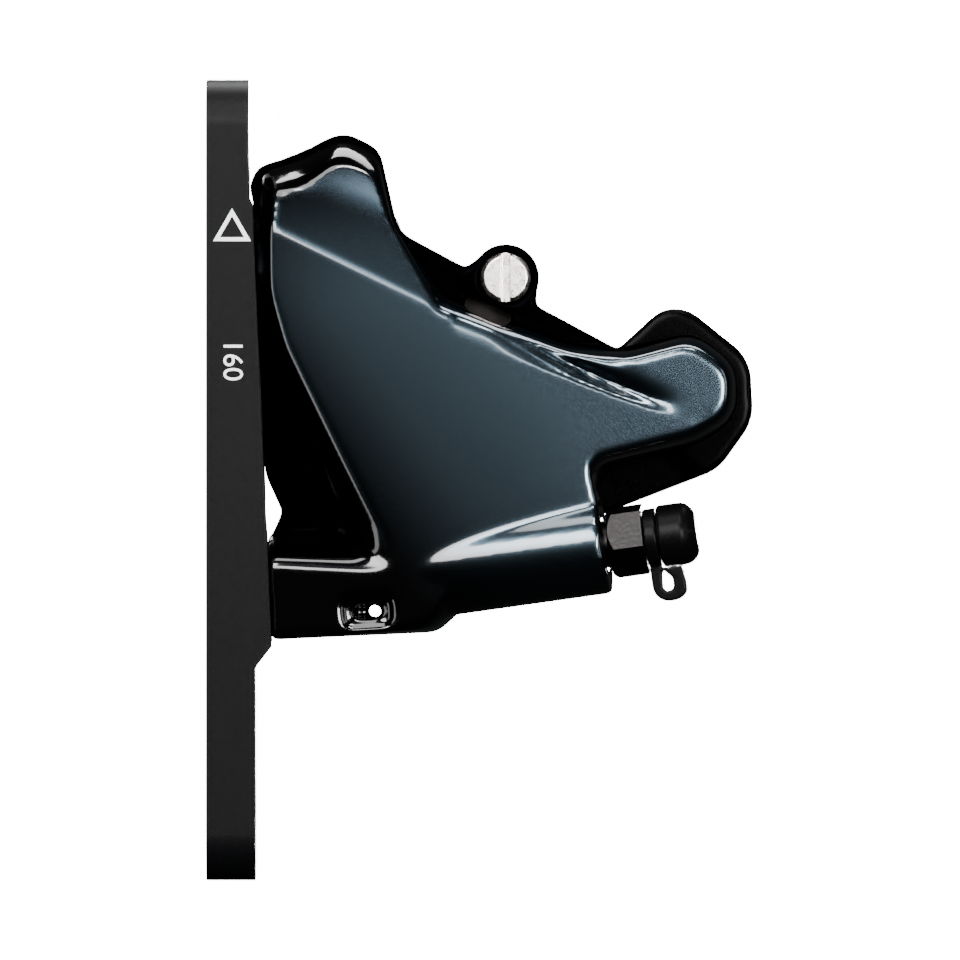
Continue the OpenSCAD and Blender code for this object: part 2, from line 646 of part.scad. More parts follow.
// Sheet spring: two leaves behind the linings' upper edges, joined over the rotor's rim
module pad_spring() {
    leaf_d = plate_d - touch_gap * 2;
    bridge_z = axle_rise - axle_d / 2 - 3 * touch_gap;
    leaf_z = pad_rise - 1.1;
    neck = tab_r - 0.4;
    shape = [
        [pad_x0 + 2, leaf_z, 0.4], [pad_x0 + 2, leaf_z + 1.6, 0.7], [axle_x - neck, leaf_z + 2.6, 0.8],
        [axle_x - neck, bridge_z, 0.3], [axle_x + neck, bridge_z, 0.3], [axle_x + neck, leaf_z + 2.6, 0.8],
        [pad_x1 - 2, leaf_z + 1.6, 0.7], [pad_x1 - 2, leaf_z, 0.4]
    ];
    color([0.75, 0.75, 0.74]) {
        pads() translate([axle_x - neck, -leaf_d, bridge_z - spring_t]) cube([2 * neck, 2 * leaf_d, spring_t]);
        pads() slab(leaf_d - spring_t, leaf_d) polygon(outline(shape));
        inboard() pads() slab(leaf_d - spring_t, leaf_d) polygon(outline(shape));
    }
}
// Axle that the pads hang on, with a slotted head outboard and a clip groove inboard
module pad_axle() {
    head_d = flange_t - ear_face_step;
    chamfer = 0.4;
    slot = 0.9;
    groove = 0.5;
    clip_d = flange_t + clip_t;
    color([0.8, 0.77, 0.75]) pads() translate([axle_x, 0, axle_rise]) difference() {
        union() {
            rod(-clip_d - 2 * clip_t, head_d + eps / 2, axle_d / 2);
            translate([0, -head_d, 0]) rotate([90, 0, 0]) rotate_extrude() polygon([
                [0, 0], [axle_head_d / 2, 0], [axle_head_d / 2, ear_face_step - chamfer / 2],
                [axle_head_d / 2 - chamfer, ear_face_step + chamfer / 2], [0, ear_face_step + chamfer / 2]
            ]);
        }
        rotate([0, wedge_angle - pad_lean, 0])
            translate([-slot / 2, -head_d - ear_face_step - eps, -axle_head_d])
                cube([slot, eps + slot / 2, 2 * axle_head_d]);
        difference() {
            rod(-clip_d, -flange_t - thread_fit, axle_d);
            rod(-clip_d - eps, -flange_t + eps, axle_d / 2 - groove);
        }
    }
}
clip_t = 0.6;
// Snap ring, open at the top, in the axle's groove
module pad_axle_clip() {
    inner = axle_d / 2 - 0.5 + thread_fit;
    wide = 1.3;
    color([0.7, 0.7, 0.7]) inboard() pads() translate([axle_x, 0, axle_rise]) difference() {
        rod(flange_t + 2 * thread_fit, flange_t + clip_t - thread_fit, inner + wide);
        rod(flange_t - eps, flange_t + clip_t + eps, inner);
        translate([-inner * 0.6, -flange_t - 2 * clip_t, 0]) cube([inner * 1.2, 3 * clip_t, 2 * axle_d]);
    }
}
// Hollow bleed screw: threaded shank, hexagon, neck for the tether and tip under the cap
ring_len = strap_t + 0.2;
hex_x = 1.2;
neck_x = hex_x - 0.7 + nipple_hex_len;
tip_x = neck_x + ring_len + 2 * touch_gap;
module bleed_nipple() {
    color([0.42, 0.4, 0.4]) bleed() rotate([0, 90, 0]) difference() {
        union() {
            translate([0, 0, -boss_bore_len + 0.6])
                cylinder(h = boss_bore_len + hex_x, r = nipple_d / 2 - 0.5);
            translate([0, 0, -boss_bore_len + 0.6])
                cylinder(h = boss_bore_len - 0.6 - bleed_seal_t, r = nipple_d / 2);
            translate([0, 0, hex_x - 0.7]) intersection() {
                rotate([0, 0, nipple_turn]) hexagon(nipple_hex, nipple_hex_len);
                rotate_extrude() polygon([
                    [0, 0], [nipple_hex / 2 - 0.1, 0], [nipple_hex / sqrt(3) + 0.1, 0.8],
                    [nipple_hex / sqrt(3) + 0.1, nipple_hex_len], [0, nipple_hex_len]
                ]);
            }
            translate([0, 0, neck_x - 0.5])
                cylinder(h = ring_len + 0.5 + 2 * touch_gap, r = nipple_d / 2 - 0.6);
            translate([0, 0, neck_x])
                cylinder(h = tip_x - neck_x + nipple_tip_len - 0.6, r = nipple_tip_d / 2);
        }
        translate([0, 0, -boss_bore_len])
            cylinder(h = 2 * boss_bore_len + nipple_tip_len + tip_x, r = drill_d / 2);
    }
}
nipple_turn = 40;
bleed_seal_t = 1.2;
// Sealing ring under the nipple's hexagon, in the mouth of its bore
module bleed_seal() {
    color([0.08, 0.08, 0.08]) bleed() rotate([0, 90, 0]) translate([0, 0, -bleed_seal_t + thread_fit])
        difference() {
            cylinder(h = bleed_seal_t - 2 * thread_fit, r = nipple_d / 2 - thread_fit);
            translate([0, 0, -eps]) cylinder(h = bleed_seal_t + 2 * eps, r = nipple_d / 2 - 0.5 + thread_fit);
        }
}
// Rubber cap with a domed end, hollow over the nipple's tip
module bleed_cap() {
    dome_r = 1.7;
    steps = 6;
    color([0.07, 0.07, 0.07]) bleed() translate([tip_x + touch_gap, 0, 0]) rotate([0, 90, 0]) difference() {
        rotate_extrude() polygon(concat(
            [[0, 0], [cap_d / 2 - 0.25, 0], [cap_d / 2, 0.25]],
            [for (k = [0 : steps])
                let (a = 90 * k / steps)
                [cap_d / 2 - dome_r * (1 - cos(a)), cap_len - dome_r * (1 - sin(a))]],
            [[0, cap_len]]
        ));
        translate([0, 0, -eps]) cylinder(h = nipple_tip_len + eps - 0.3, r = nipple_tip_d / 2 + run_fit);
    }
}
// Tether: a ring round the nipple's neck and a hanging loop that closes under the cap
module bleed_tether() {
    ring_r = cap_d / 2 - 0.2;
    ring_x = neck_x + touch_gap;
    loop_low = 7;
    loop_w = 3.9;
    eye = [ring_x + strap_t, ring_x + 2 * strap_t];
    arm_top = 0.6 - cap_d / 2;
    loop = [
        [ring_x, 1.5 - ring_r, 0.2], [ring_x, -loop_low, 1.9], [ring_x + loop_w, -loop_low, 1.9],
        [ring_x + loop_w - 0.5, arm_top, 0.2], [ring_x + ring_len + 2 * touch_gap, arm_top, 0.1],
        [ring_x + ring_len + 2 * touch_gap, -cap_d / 2 - strap_t / 4, 0.3],
        [eye[1], -cap_d / 2 - strap_t, 0.6], [eye[1], strap_t - loop_low, 0.55],
        [eye[0], strap_t - loop_low, 0.55], [eye[0], -cap_d / 2 - strap_t, 0.6],
        [ring_x + ring_len, 0.1 - ring_r, 0.3], [ring_x + ring_len, 1.5 - ring_r, 0.2]
    ];
    color([0.08, 0.08, 0.08]) bleed() {
        difference() {
            rotate([0, 90, 0]) translate([0, 0, ring_x]) cylinder(h = ring_len, r = ring_r);
            rotate([0, 90, 0]) cylinder(h = 2 * tip_x, r = nipple_d / 2 - 0.6 + run_fit);
        }
        difference() {
            slab(-strap_w / 2, strap_w / 2) polygon(outline(loop));
            rotate([0, 90, 0]) cylinder(h = 2 * tip_x, r = nipple_d / 2 - 0.6 + run_fit);
            rotate([0, 90, 0]) translate([0, 0, ring_x + ring_len])
                cylinder(h = cap_len + 2 * touch_gap, r = cap_d / 2 + 2 * touch_gap);
        }
    }
}

mount_bracket();
caliper_bolts();
body_outboard();
body_inboard();
body_bolts();
transfer_seal();
piston_outboard();
piston_inboard();
piston_seal_outboard();
piston_seal_inboard();
pad_plate_outboard();
pad_plate_inboard();
pad_lining_outboard();
pad_lining_inboard();
pad_spring();
pad_axle();
pad_axle_clip();
bleed_nipple();
bleed_seal();
bleed_cap();
bleed_tether();
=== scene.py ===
# %% [markdown]
# # A disc brake caliper on its fork bracket
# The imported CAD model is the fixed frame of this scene. Every piece below is a finer copy of one of its
# nodes, or a print on one of them, so a size comes from the frame and is never typed in twice.

# %% Load the frame
import math

import bpy
from mathutils import Matrix, Vector


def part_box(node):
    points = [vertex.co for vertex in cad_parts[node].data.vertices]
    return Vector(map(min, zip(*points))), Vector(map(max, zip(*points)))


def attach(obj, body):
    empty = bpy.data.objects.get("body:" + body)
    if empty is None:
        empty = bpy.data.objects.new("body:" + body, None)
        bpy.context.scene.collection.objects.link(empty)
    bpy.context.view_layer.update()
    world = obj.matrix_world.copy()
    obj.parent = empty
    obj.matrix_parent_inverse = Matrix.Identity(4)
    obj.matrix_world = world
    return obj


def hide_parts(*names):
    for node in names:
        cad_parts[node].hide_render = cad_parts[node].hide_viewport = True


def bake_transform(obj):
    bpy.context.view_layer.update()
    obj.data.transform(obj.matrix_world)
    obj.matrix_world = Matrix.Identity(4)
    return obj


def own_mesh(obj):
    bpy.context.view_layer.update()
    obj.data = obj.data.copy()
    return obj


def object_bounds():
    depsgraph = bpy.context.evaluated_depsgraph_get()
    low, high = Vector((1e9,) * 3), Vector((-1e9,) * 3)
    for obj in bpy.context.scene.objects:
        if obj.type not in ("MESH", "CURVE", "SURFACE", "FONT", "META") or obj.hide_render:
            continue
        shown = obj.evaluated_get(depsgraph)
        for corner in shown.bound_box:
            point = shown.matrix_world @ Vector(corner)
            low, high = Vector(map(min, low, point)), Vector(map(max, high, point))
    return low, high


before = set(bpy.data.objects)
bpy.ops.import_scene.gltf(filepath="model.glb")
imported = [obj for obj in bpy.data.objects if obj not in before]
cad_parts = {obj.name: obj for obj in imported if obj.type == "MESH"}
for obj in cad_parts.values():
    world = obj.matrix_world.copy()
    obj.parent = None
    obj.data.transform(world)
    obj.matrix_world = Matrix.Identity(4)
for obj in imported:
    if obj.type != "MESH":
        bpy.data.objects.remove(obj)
cad_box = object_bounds()
MM = 0.001
print("nodes:", len(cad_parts), "box in mm:", [round(c / MM, 1) for corner in cad_box for c in corner])

# %% [markdown]
# ## Helpers for working as by hand
# An operator acts on everything that is selected, and loading the frame leaves its nodes selected. So each
# step first selects one object alone. Modifiers are applied at once, so that what is left is plain mesh.


# %% Select one object, copy a node, apply a modifier
WELD = 0.002 * MM


def only(obj):
    """Select one object alone and make it active."""
    bpy.ops.object.select_all(action="DESELECT")
    obj.select_set(True)
    bpy.context.view_layer.objects.active = obj


def node_copy(node, name):
    """A copy of a CAD node with its loose triangles joined at their corners."""
    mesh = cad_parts[node].data.copy()
    mesh.materials.clear()
    obj = bpy.data.objects.new(name, mesh)
    bpy.context.scene.collection.objects.link(obj)
    only(obj)
    bpy.ops.object.mode_set(mode="EDIT")
    bpy.ops.mesh.select_all(action="SELECT")
    bpy.ops.mesh.remove_doubles(threshold=WELD)
    bpy.ops.object.mode_set(mode="OBJECT")
    return obj


def modify(obj, kind, **settings):
    """Add one modifier, set it and apply it."""
    only(obj)
    modifier = obj.modifiers.new(kind.title(), kind)
    for key, value in settings.items():
        setattr(modifier, key, value)
    bpy.ops.object.modifier_apply(modifier=modifier.name)


def place(obj, node, body):
    """Let a piece stand for a node and move with its body."""
    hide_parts(node)
    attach(obj, body)
    print(obj.name, "stands for", node, "with", len(obj.data.polygons), "faces")


# %% [markdown]
# ## The cast halves
# The two halves of a caliper are cast and then coated, so every edge on them is soft and the walls run
# into each other through fillets. Bevels would fail on so many crossing faces. A voxel remesh turns the
# joined triangles into an even grid, and a few passes of smoothing wear the grid's edges down to a radius
# of about half a millimetre, as tumbling does to the real casting. The groove under the pad axle is a shape
# drawn between two curves, so the strip along it is smoothed once more by itself.

# %% Soften the two halves
VOXEL = 0.34 * MM
SMOOTH_FACTOR = 0.5
SMOOTH_PASSES = 6
GROOVE_START = (28 * MM, 17 * MM)
GROOVE_END = (52.5 * MM, 8 * MM)
GROOVE_REACH = 1.8 * MM
GROOVE_PASSES = 50


def soft_casting(node, name):
    obj = node_copy(node, name)
    modify(obj, "REMESH", mode="VOXEL", voxel_size=VOXEL)
    modify(obj, "SMOOTH", factor=SMOOTH_FACTOR, iterations=SMOOTH_PASSES)
    bpy.ops.object.shade_smooth()
    place(obj, node, "caliper")
    return obj


def smooth_near(obj, start, end, reach, passes):
    """Smooth only what lies within reach of a line across the face, given in x and z."""
    start, end = Vector(start), Vector(end)
    run = end - start
    near = []
    for vertex in obj.data.vertices:
        spot = Vector((vertex.co.x, vertex.co.z))
        share = min(1, max(0, (spot - start).dot(run) / run.length_squared))
        if (spot - start - run * share).length < reach:
            near.append(vertex.index)
    obj.vertex_groups.new(name="near").add(near, 1, "REPLACE")
    modify(obj, "SMOOTH", factor=SMOOTH_FACTOR, iterations=passes, vertex_group="near")
    obj.vertex_groups.clear()
    print(obj.name, "smoothed at", len(near), "points")


front_half = soft_casting("body_outboard", "front_half")
smooth_near(front_half, GROOVE_START, GROOVE_END, GROOVE_REACH, GROOVE_PASSES)
back_half = soft_casting("body_inboard", "back_half")

# %% [markdown]
# ## Machined and turned pieces
# The bracket, the axle and the nipple are cut from bar, so they keep flat faces and get a narrow broken
# edge. The coplanar triangles are dissolved into whole faces first, because a bevel follows the edges of
# faces, and only the edges that turn sharply get one. Normals weighted by area keep the large faces flat in
# the shading, so that only the broken edges catch the light.

# %% Break the edges of the machined pieces
SHARP = math.radians(32)
FLAT = math.radians(0.5)
BRACKET_EDGE = 0.45 * MM
TURNED_EDGE = 0.12 * MM


def broken_edges(node, name, body, width, segments=2):
    obj = node_copy(node, name)
    bpy.ops.object.mode_set(mode="EDIT")
    bpy.ops.mesh.select_all(action="SELECT")
    bpy.ops.mesh.dissolve_limited(angle_limit=FLAT)
    bpy.ops.object.mode_set(mode="OBJECT")
    modify(obj, "BEVEL", width=width, segments=segments, limit_method="ANGLE", angle_limit=SHARP,
           harden_normals=False, use_clamp_overlap=True)
    only(obj)
    bpy.ops.object.shade_smooth_by_angle(angle=SHARP)
    modify(obj, "WEIGHTED_NORMAL", mode="FACE_AREA", keep_sharp=True)
    place(obj, node, body)
    return obj


bracket = broken_edges("mount_bracket", "fork_bracket", "caliper", BRACKET_EDGE, segments=3)
axle = broken_edges("pad_axle", "slotted_axle", "caliper", TURNED_EDGE)
nipple = broken_edges("bleed_nipple", "nipple", "nipple", TURNED_EDGE)

# %% [markdown]
# ## Rubber
# The cap and its tether are soft mouldings. The cap is round about its axis, so rounded edges are all that it
# needs. The tether is remeshed and smoothed until its square strap is round.

# %% Cap and tether
CAP_EDGE = 0.2 * MM
TETHER_VOXEL = 0.12 * MM
TETHER_PASSES = 10

cap = broken_edges("bleed_cap", "dust_cap", "cap", CAP_EDGE, segments=3)
tether = node_copy("bleed_tether", "cap_tether")
modify(tether, "REMESH", mode="VOXEL", voxel_size=TETHER_VOXEL)
modify(tether, "SMOOTH", factor=SMOOTH_FACTOR, iterations=TETHER_PASSES)
bpy.ops.object.shade_smooth()
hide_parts("bleed_tether")
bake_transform(tether)
print("tether", len(tether.data.polygons), "faces")

# %% [markdown]
# ## Spring
# The sheet spring sits between the pads and is pressed flat as they close. Its copy gets a mesh of its own.

# %% Spring between the pads
SPRING_EDGE = 0.06 * MM
pad_spring = broken_edges("pad_spring", "leaf_spring", "caliper", SPRING_EDGE)
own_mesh(pad_spring)

# %% [markdown]
# ## Printed triangle
# The side of the bracket carries a triangle that shows which end goes up and, below it, the rotor's diameter.
# Both are thin ink, so they are flat shapes a few hundredths of a millimetre proud of the bracket's side. The
# triangle is a circle of three corners, inset to a line and raised.

# %% Triangle
INK = 0.03 * MM
side_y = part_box("mount_bracket")[0][1]
MARK_X = 2.8 * MM
TRIANGLE_Z = 26.8 * MM
TRIANGLE_R = 2.35 * MM
TRIANGLE_LINE = 0.42 * MM


def settle(obj):
    """Put the object's place into its mesh."""
    only(obj)
    bpy.ops.object.transform_apply(location=True, rotation=True, scale=True)


bpy.ops.object.select_all(action="DESELECT")
bpy.ops.mesh.primitive_circle_add(vertices=3, radius=TRIANGLE_R, fill_type="NGON", location=(0, 0, 0))
triangle = bpy.context.object
triangle.name = "up_mark"
bpy.ops.object.mode_set(mode="EDIT")
bpy.ops.mesh.select_all(action="SELECT")
bpy.ops.mesh.inset(thickness=TRIANGLE_LINE, depth=0)
bpy.ops.mesh.delete(type="FACE")
bpy.ops.mesh.select_all(action="SELECT")
bpy.ops.mesh.extrude_region_move(TRANSFORM_OT_translate={"value": (0, 0, INK)})
bpy.ops.mesh.select_all(action="SELECT")
bpy.ops.mesh.normals_make_consistent(inside=False)
bpy.ops.object.mode_set(mode="OBJECT")
# The mark's x, y and z point right, up and out of the bracket's side
upright = Matrix.Rotation(math.radians(90), 4, "X")
triangle.matrix_world = Matrix.Translation((MARK_X, side_y, TRIANGLE_Z)) @ upright
settle(triangle)
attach(triangle, "caliper")
print("triangle on the side at", round(side_y / MM, 2), "mm")

# %% [markdown]
# ## Printed number
# The number is a text object of the same thickness of ink. It is made a mesh while it still lies flat, and
# only then turned and put in its place.

# %% Number
NUMBER_Z = 12.85 * MM
NUMBER_SIZE = 3.0 * MM

bpy.ops.object.select_all(action="DESELECT")
bpy.ops.object.text_add(location=(0, 0, 0))
number = bpy.context.object
number.data.body = "160"
number.data.size = NUMBER_SIZE
number.data.align_x = "CENTER"
number.data.align_y = "CENTER"
number.data.extrude = INK
number.name = "rotor_size"
only(number)
bpy.ops.object.convert(target="MESH")
number = bpy.context.object
# The number reads downwards, with the tops of its digits to the right
downwards = Matrix(((0, 1, 0, 0), (0, 0, -1, 0), (-1, 0, 0, 0), (0, 0, 0, 1)))
number.matrix_world = Matrix.Translation((MARK_X, side_y, NUMBER_Z)) @ downwards
settle(number)
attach(number, "caliper")
print("number with", len(number.data.polygons), "faces")

# %% [markdown]
# ## Grain and drift
# Two effects come back in most finishes. Grain is fine noise that roughens a surface and lifts it a little.
# Drift is slow noise that mixes two close tones, because no coating is the same all over. Each is built once
# as a group and placed in the materials with its own values.


# %% Grain and drift
def group(name, inputs, outputs):
    """An empty shader group with float or colour sockets."""
    tree = bpy.data.node_groups.new(name, "ShaderNodeTree")
    for label, kind, value in inputs:
        tree.interface.new_socket(label, in_out="INPUT", socket_type=kind).default_value = value
    for label, kind in outputs:
        tree.interface.new_socket(label, in_out="OUTPUT", socket_type=kind)
    return tree, tree.nodes.new("NodeGroupInput"), tree.nodes.new("NodeGroupOutput")


def add(tree, kind, **settings):
    node = tree.nodes.new(kind)
    for key, value in settings.items():
        setattr(node, key, value)
    return node


def make_grain():
    tree, enter, leave = group(
        "Grain", [("Scale", "NodeSocketFloat", 2000), ("Low", "NodeSocketFloat", 0.3),
                  ("High", "NodeSocketFloat", 0.4)],
        [("Roughness", "NodeSocketFloat"), ("Height", "NodeSocketFloat")])
    coords = add(tree, "ShaderNodeTexCoord")
    noise = add(tree, "ShaderNodeTexNoise")
    noise.inputs["Detail"].default_value = 3
    spread = add(tree, "ShaderNodeMapRange")
    spread.inputs["From Min"].default_value = 0.3
    spread.inputs["From Max"].default_value = 0.7
    tree.links.new(coords.outputs["Object"], noise.inputs["Vector"])
    tree.links.new(enter.outputs["Scale"], noise.inputs["Scale"])
    tree.links.new(noise.outputs["Fac"], spread.inputs["Value"])
    tree.links.new(enter.outputs["Low"], spread.inputs["To Min"])
    tree.links.new(enter.outputs["High"], spread.inputs["To Max"])
    tree.links.new(spread.outputs["Result"], leave.inputs["Roughness"])
    tree.links.new(noise.outputs["Fac"], leave.inputs["Height"])
    return tree


def make_drift():
    tree, enter, leave = group(
        "Drift", [("Scale", "NodeSocketFloat", 60), ("Dark", "NodeSocketColor", (0, 0, 0, 1)),
                  ("Light", "NodeSocketColor", (1, 1, 1, 1))], [("Color", "NodeSocketColor")])
    coords = add(tree, "ShaderNodeTexCoord")
    noise = add(tree, "ShaderNodeTexNoise")
    noise.inputs["Detail"].default_value = 2
    mix = add(tree, "ShaderNodeMix", data_type="RGBA")
    tree.links.new(coords.outputs["Object"], noise.inputs["Vector"])
    tree.links.new(enter.outputs["Scale"], noise.inputs["Scale"])
    tree.links.new(noise.outputs["Fac"], mix.inputs["Factor"])
    tree.links.new(enter.outputs["Dark"], mix.inputs[6])
    tree.links.new(enter.outputs["Light"], mix.inputs[7])
    tree.links.new(mix.outputs[2], leave.inputs["Color"])
    return tree


GRAIN = make_grain()
DRIFT = make_drift()
print("groups:", GRAIN.name, DRIFT.name)

# %% [markdown]
# ## Painted shade and crown
# Two more groups are for the front half. The painted shade group darkens the colour to near black along one
# direction, as painted shade: on the walls behind the face, down the lower left and up the top lobe. It can
# thin the clear coat as well, which takes the reflections off those places too. Crown tells the shader that
# a flat face is a little domed, as a casting is. Moving the face itself would take it away from the CAD
# shape, so only the shading changes.


# %% Painted shade and crown
PAINTED_SHADE_BLACK = (0.0002, 0.0002, 0.0003, 1)


def calc(tree, operation, first, second):
    """A math node between two sockets or numbers."""
    node = add(tree, "ShaderNodeMath", operation=operation)
    for socket, value in zip(node.inputs, (first, second)):
        if isinstance(value, (int, float)):
            socket.default_value = value
        else:
            tree.links.new(value, socket)
    return node.outputs["Value"]


# Painted shade: between From and To along Across the colour goes to near black, and the coat thins with it.
def make_painted_shade():
    tree, enter, leave = group(
        "Fade", [("Across", "NodeSocketVector", (0, 1, 0)), ("From", "NodeSocketFloat", 0),
                 ("To", "NodeSocketFloat", 1), ("Color", "NodeSocketColor", (1, 1, 1, 1)),
                 ("Coat", "NodeSocketFloat", 1)],
        [("Color", "NodeSocketColor"), ("Coat", "NodeSocketFloat")])
    coords = add(tree, "ShaderNodeTexCoord")
    along = add(tree, "ShaderNodeVectorMath", operation="DOT_PRODUCT")
    share = add(tree, "ShaderNodeMapRange", interpolation_type="SMOOTHSTEP")
    share.inputs["To Min"].default_value = 1
    share.inputs["To Max"].default_value = 0
    mix = add(tree, "ShaderNodeMix", data_type="RGBA")
    mix.inputs[6].default_value = PAINTED_SHADE_BLACK
    tree.links.new(coords.outputs["Object"], along.inputs[0])
    tree.links.new(enter.outputs["Across"], along.inputs[1])
    tree.links.new(along.outputs["Value"], share.inputs["Value"])
    tree.links.new(enter.outputs["From"], share.inputs["From Min"])
    tree.links.new(enter.outputs["To"], share.inputs["From Max"])
    tree.links.new(share.outputs["Result"], mix.inputs["Factor"])
    tree.links.new(enter.outputs["Color"], mix.inputs[7])
    tree.links.new(mix.outputs[2], leave.inputs["Color"])
    thinned = calc(tree, "MULTIPLY", share.outputs["Result"], enter.outputs["Coat"])
    tree.links.new(thinned, leave.inputs["Coat"])
    return tree


def make_crown():
    tree, enter, leave = group(
        "Crown", [("Across", "NodeSocketVector", (1, 0, 1)), ("Middle", "NodeSocketFloat", 0),
                  ("Radius", "NodeSocketFloat", 1), ("Low", "NodeSocketFloat", 0),
                  ("High", "NodeSocketFloat", 0)],
        [("Height", "NodeSocketFloat")])
    coords = add(tree, "ShaderNodeTexCoord")
    along = add(tree, "ShaderNodeVectorMath", operation="DOT_PRODUCT")
    tree.links.new(coords.outputs["Object"], along.inputs[0])
    tree.links.new(enter.outputs["Across"], along.inputs[1])
    # The slope changes evenly between the low and high ends and stays the same beyond them
    past = calc(tree, "SUBTRACT", along.outputs["Value"], enter.outputs["Middle"])
    capped = calc(tree, "MAXIMUM", calc(tree, "MINIMUM", past, enter.outputs["High"]), enter.outputs["Low"])
    beyond = calc(tree, "SUBTRACT", calc(tree, "MULTIPLY", past, 2), capped)
    dome = calc(tree, "DIVIDE", calc(tree, "MULTIPLY", capped, beyond), enter.outputs["Radius"])
    tree.links.new(calc(tree, "MULTIPLY", dome, -0.5), leave.inputs["Height"])
    return tree


PAINTED_SHADE = make_painted_shade()
CROWN = make_crown()
print("groups:", PAINTED_SHADE.name, CROWN.name)

# %% [markdown]
# ## Finishes
# One function builds every finish: drift gives the colour, grain gives the roughness and a faint bump, and
# what is the same all over is set on the shader itself. Lacquer and anodising differ only in these values.
# The lacquer's edge is zero, because bare metal would brighten on the walls that are seen at a slant, and
# this coating stays black there.


# %% Build the finishes
GRAIN_HEIGHT = 0.05 * MM
COAT_ROUGHNESS = 0.1


def raise_surface(tree, shader, height, strength, distance):
    """Tilt the shader's normal as if the surface rose by a height."""
    lift = add(tree, "ShaderNodeBump")
    lift.inputs["Strength"].default_value = strength
    lift.inputs["Distance"].default_value = distance
    tree.links.new(height, lift.inputs["Height"])
    tree.links.new(lift.outputs["Normal"], shader.inputs["Normal"])


def finish(name, dark, light, metallic, rough, grain=3000, bump=0.0, drift=60, coat=0.0, shine=0.5,
           edge=1.0, painted_shades=(), crowns=()):
    material = bpy.data.materials.new(name)
    material.use_nodes = True
    tree = material.node_tree
    shader = tree.nodes["Principled BSDF"]
    shader.inputs["Metallic"].default_value = metallic
    shader.inputs["Specular IOR Level"].default_value = shine
    shader.inputs["Specular Tint"].default_value = (edge, edge, edge, 1)
    shader.inputs["Coat Weight"].default_value = coat
    shader.inputs["Coat Roughness"].default_value = COAT_ROUGHNESS
    tone = add(tree, "ShaderNodeGroup", node_tree=DRIFT)
    tone.inputs["Scale"].default_value = drift
    tone.inputs["Dark"].default_value = (*dark, 1)
    tone.inputs["Light"].default_value = (*light, 1)
    color = tone.outputs["Color"]
    # Each painted shade darkens the colour to near black along a direction, and one may thin the coat too.
    for across, start, end, thins in painted_shades:
        painted_fade = add(tree, "ShaderNodeGroup", node_tree=PAINTED_SHADE)
        painted_fade.inputs["Across"].default_value = across
        painted_fade.inputs["From"].default_value = start
        painted_fade.inputs["To"].default_value = end
        painted_fade.inputs["Coat"].default_value = coat
        tree.links.new(color, painted_fade.inputs["Color"])
        color = painted_fade.outputs["Color"]
        if thins:
            tree.links.new(painted_fade.outputs["Coat"], shader.inputs["Coat Weight"])
    tree.links.new(color, shader.inputs["Base Color"])
    fine = add(tree, "ShaderNodeGroup", node_tree=GRAIN)
    fine.inputs["Scale"].default_value = grain
    fine.inputs["Low"].default_value = rough[0]
    fine.inputs["High"].default_value = rough[1]
    tree.links.new(fine.outputs["Roughness"], shader.inputs["Roughness"])
    if bump:
        raise_surface(tree, shader, fine.outputs["Height"], bump, GRAIN_HEIGHT)
    if crowns:
        height = 0
        for values in crowns:
            swell = add(tree, "ShaderNodeGroup", node_tree=CROWN)
            for socket, value in zip(swell.inputs, values):
                socket.default_value = value
            height = calc(tree, "ADD", swell.outputs["Height"], height)
        raise_surface(tree, shader, height, 1, 1)
    return material


# Directions over the front half, in x, y and z, along which painted shade deepens and the crowned shading
# tilts
TO_WHEEL = (0, 1, 0)
UP_RIGHT = (0.812, 0, 0.584)
DOWN_LEFT = (-0.812, 0, -0.584)
UP_LOBE = (-0.3, 0, 0.95)
OVER_RIDGE = (0.3, 0, 0.95)

# The lacquer's fades are painted shade: near black, with the coat thinned, on the walls behind the face, and
# near black down the lower left and up towards the top lobe's rim.
lacquer = finish(
    "blue_grey_lacquer", (0.03, 0.045, 0.057), (0.033, 0.05, 0.062), metallic=1.0, rough=(0.24, 0.246),
    grain=9000, coat=1.0, edge=0.0,
    painted_shades=[(TO_WHEEL, 0, 2 * MM, True), (DOWN_LEFT, -23 * MM, -10 * MM, False),
           (UP_LOBE, 12 * MM, 30 * MM, False)],
    crowns=[(UP_RIGHT, 35 * MM, 200 * MM, -60 * MM, 0), (OVER_RIDGE, 31.5 * MM, 17 * MM, 0, 3.5 * MM)])
# The back half gets a near black, nearly matte copy of the body's lacquer: painted shade, as that half lies
# in shadow.
shaded_back_lacquer = finish(
    "shaded_back_lacquer", (0.0004, 0.0004, 0.0005), (0.0006, 0.0006, 0.0007), metallic=0.0, rough=(0.22, 0.26),
    shine=0.02)
anodised = finish(
    "black_anodising", (0.002, 0.002, 0.0023), (0.0026, 0.0026, 0.003), metallic=0.1, rough=(0.42, 0.48),
    grain=2500, bump=0.1, shine=0.08)
bolt_steel = finish("bolt_steel", (0.3, 0.3, 0.31), (0.38, 0.38, 0.39), metallic=1.0, rough=(0.3, 0.38))
bright_steel = finish(
    "bright_steel", (0.84, 0.75, 0.72), (0.92, 0.84, 0.81), metallic=1.0, rough=(0.22, 0.32),
    grain=1500, bump=0.2)
grained_steel = finish(
    "grained_steel", (0.012, 0.0114, 0.0112), (0.022, 0.0208, 0.0205), metallic=1.0, rough=(0.28, 0.4),
    grain=2500, bump=0.4)
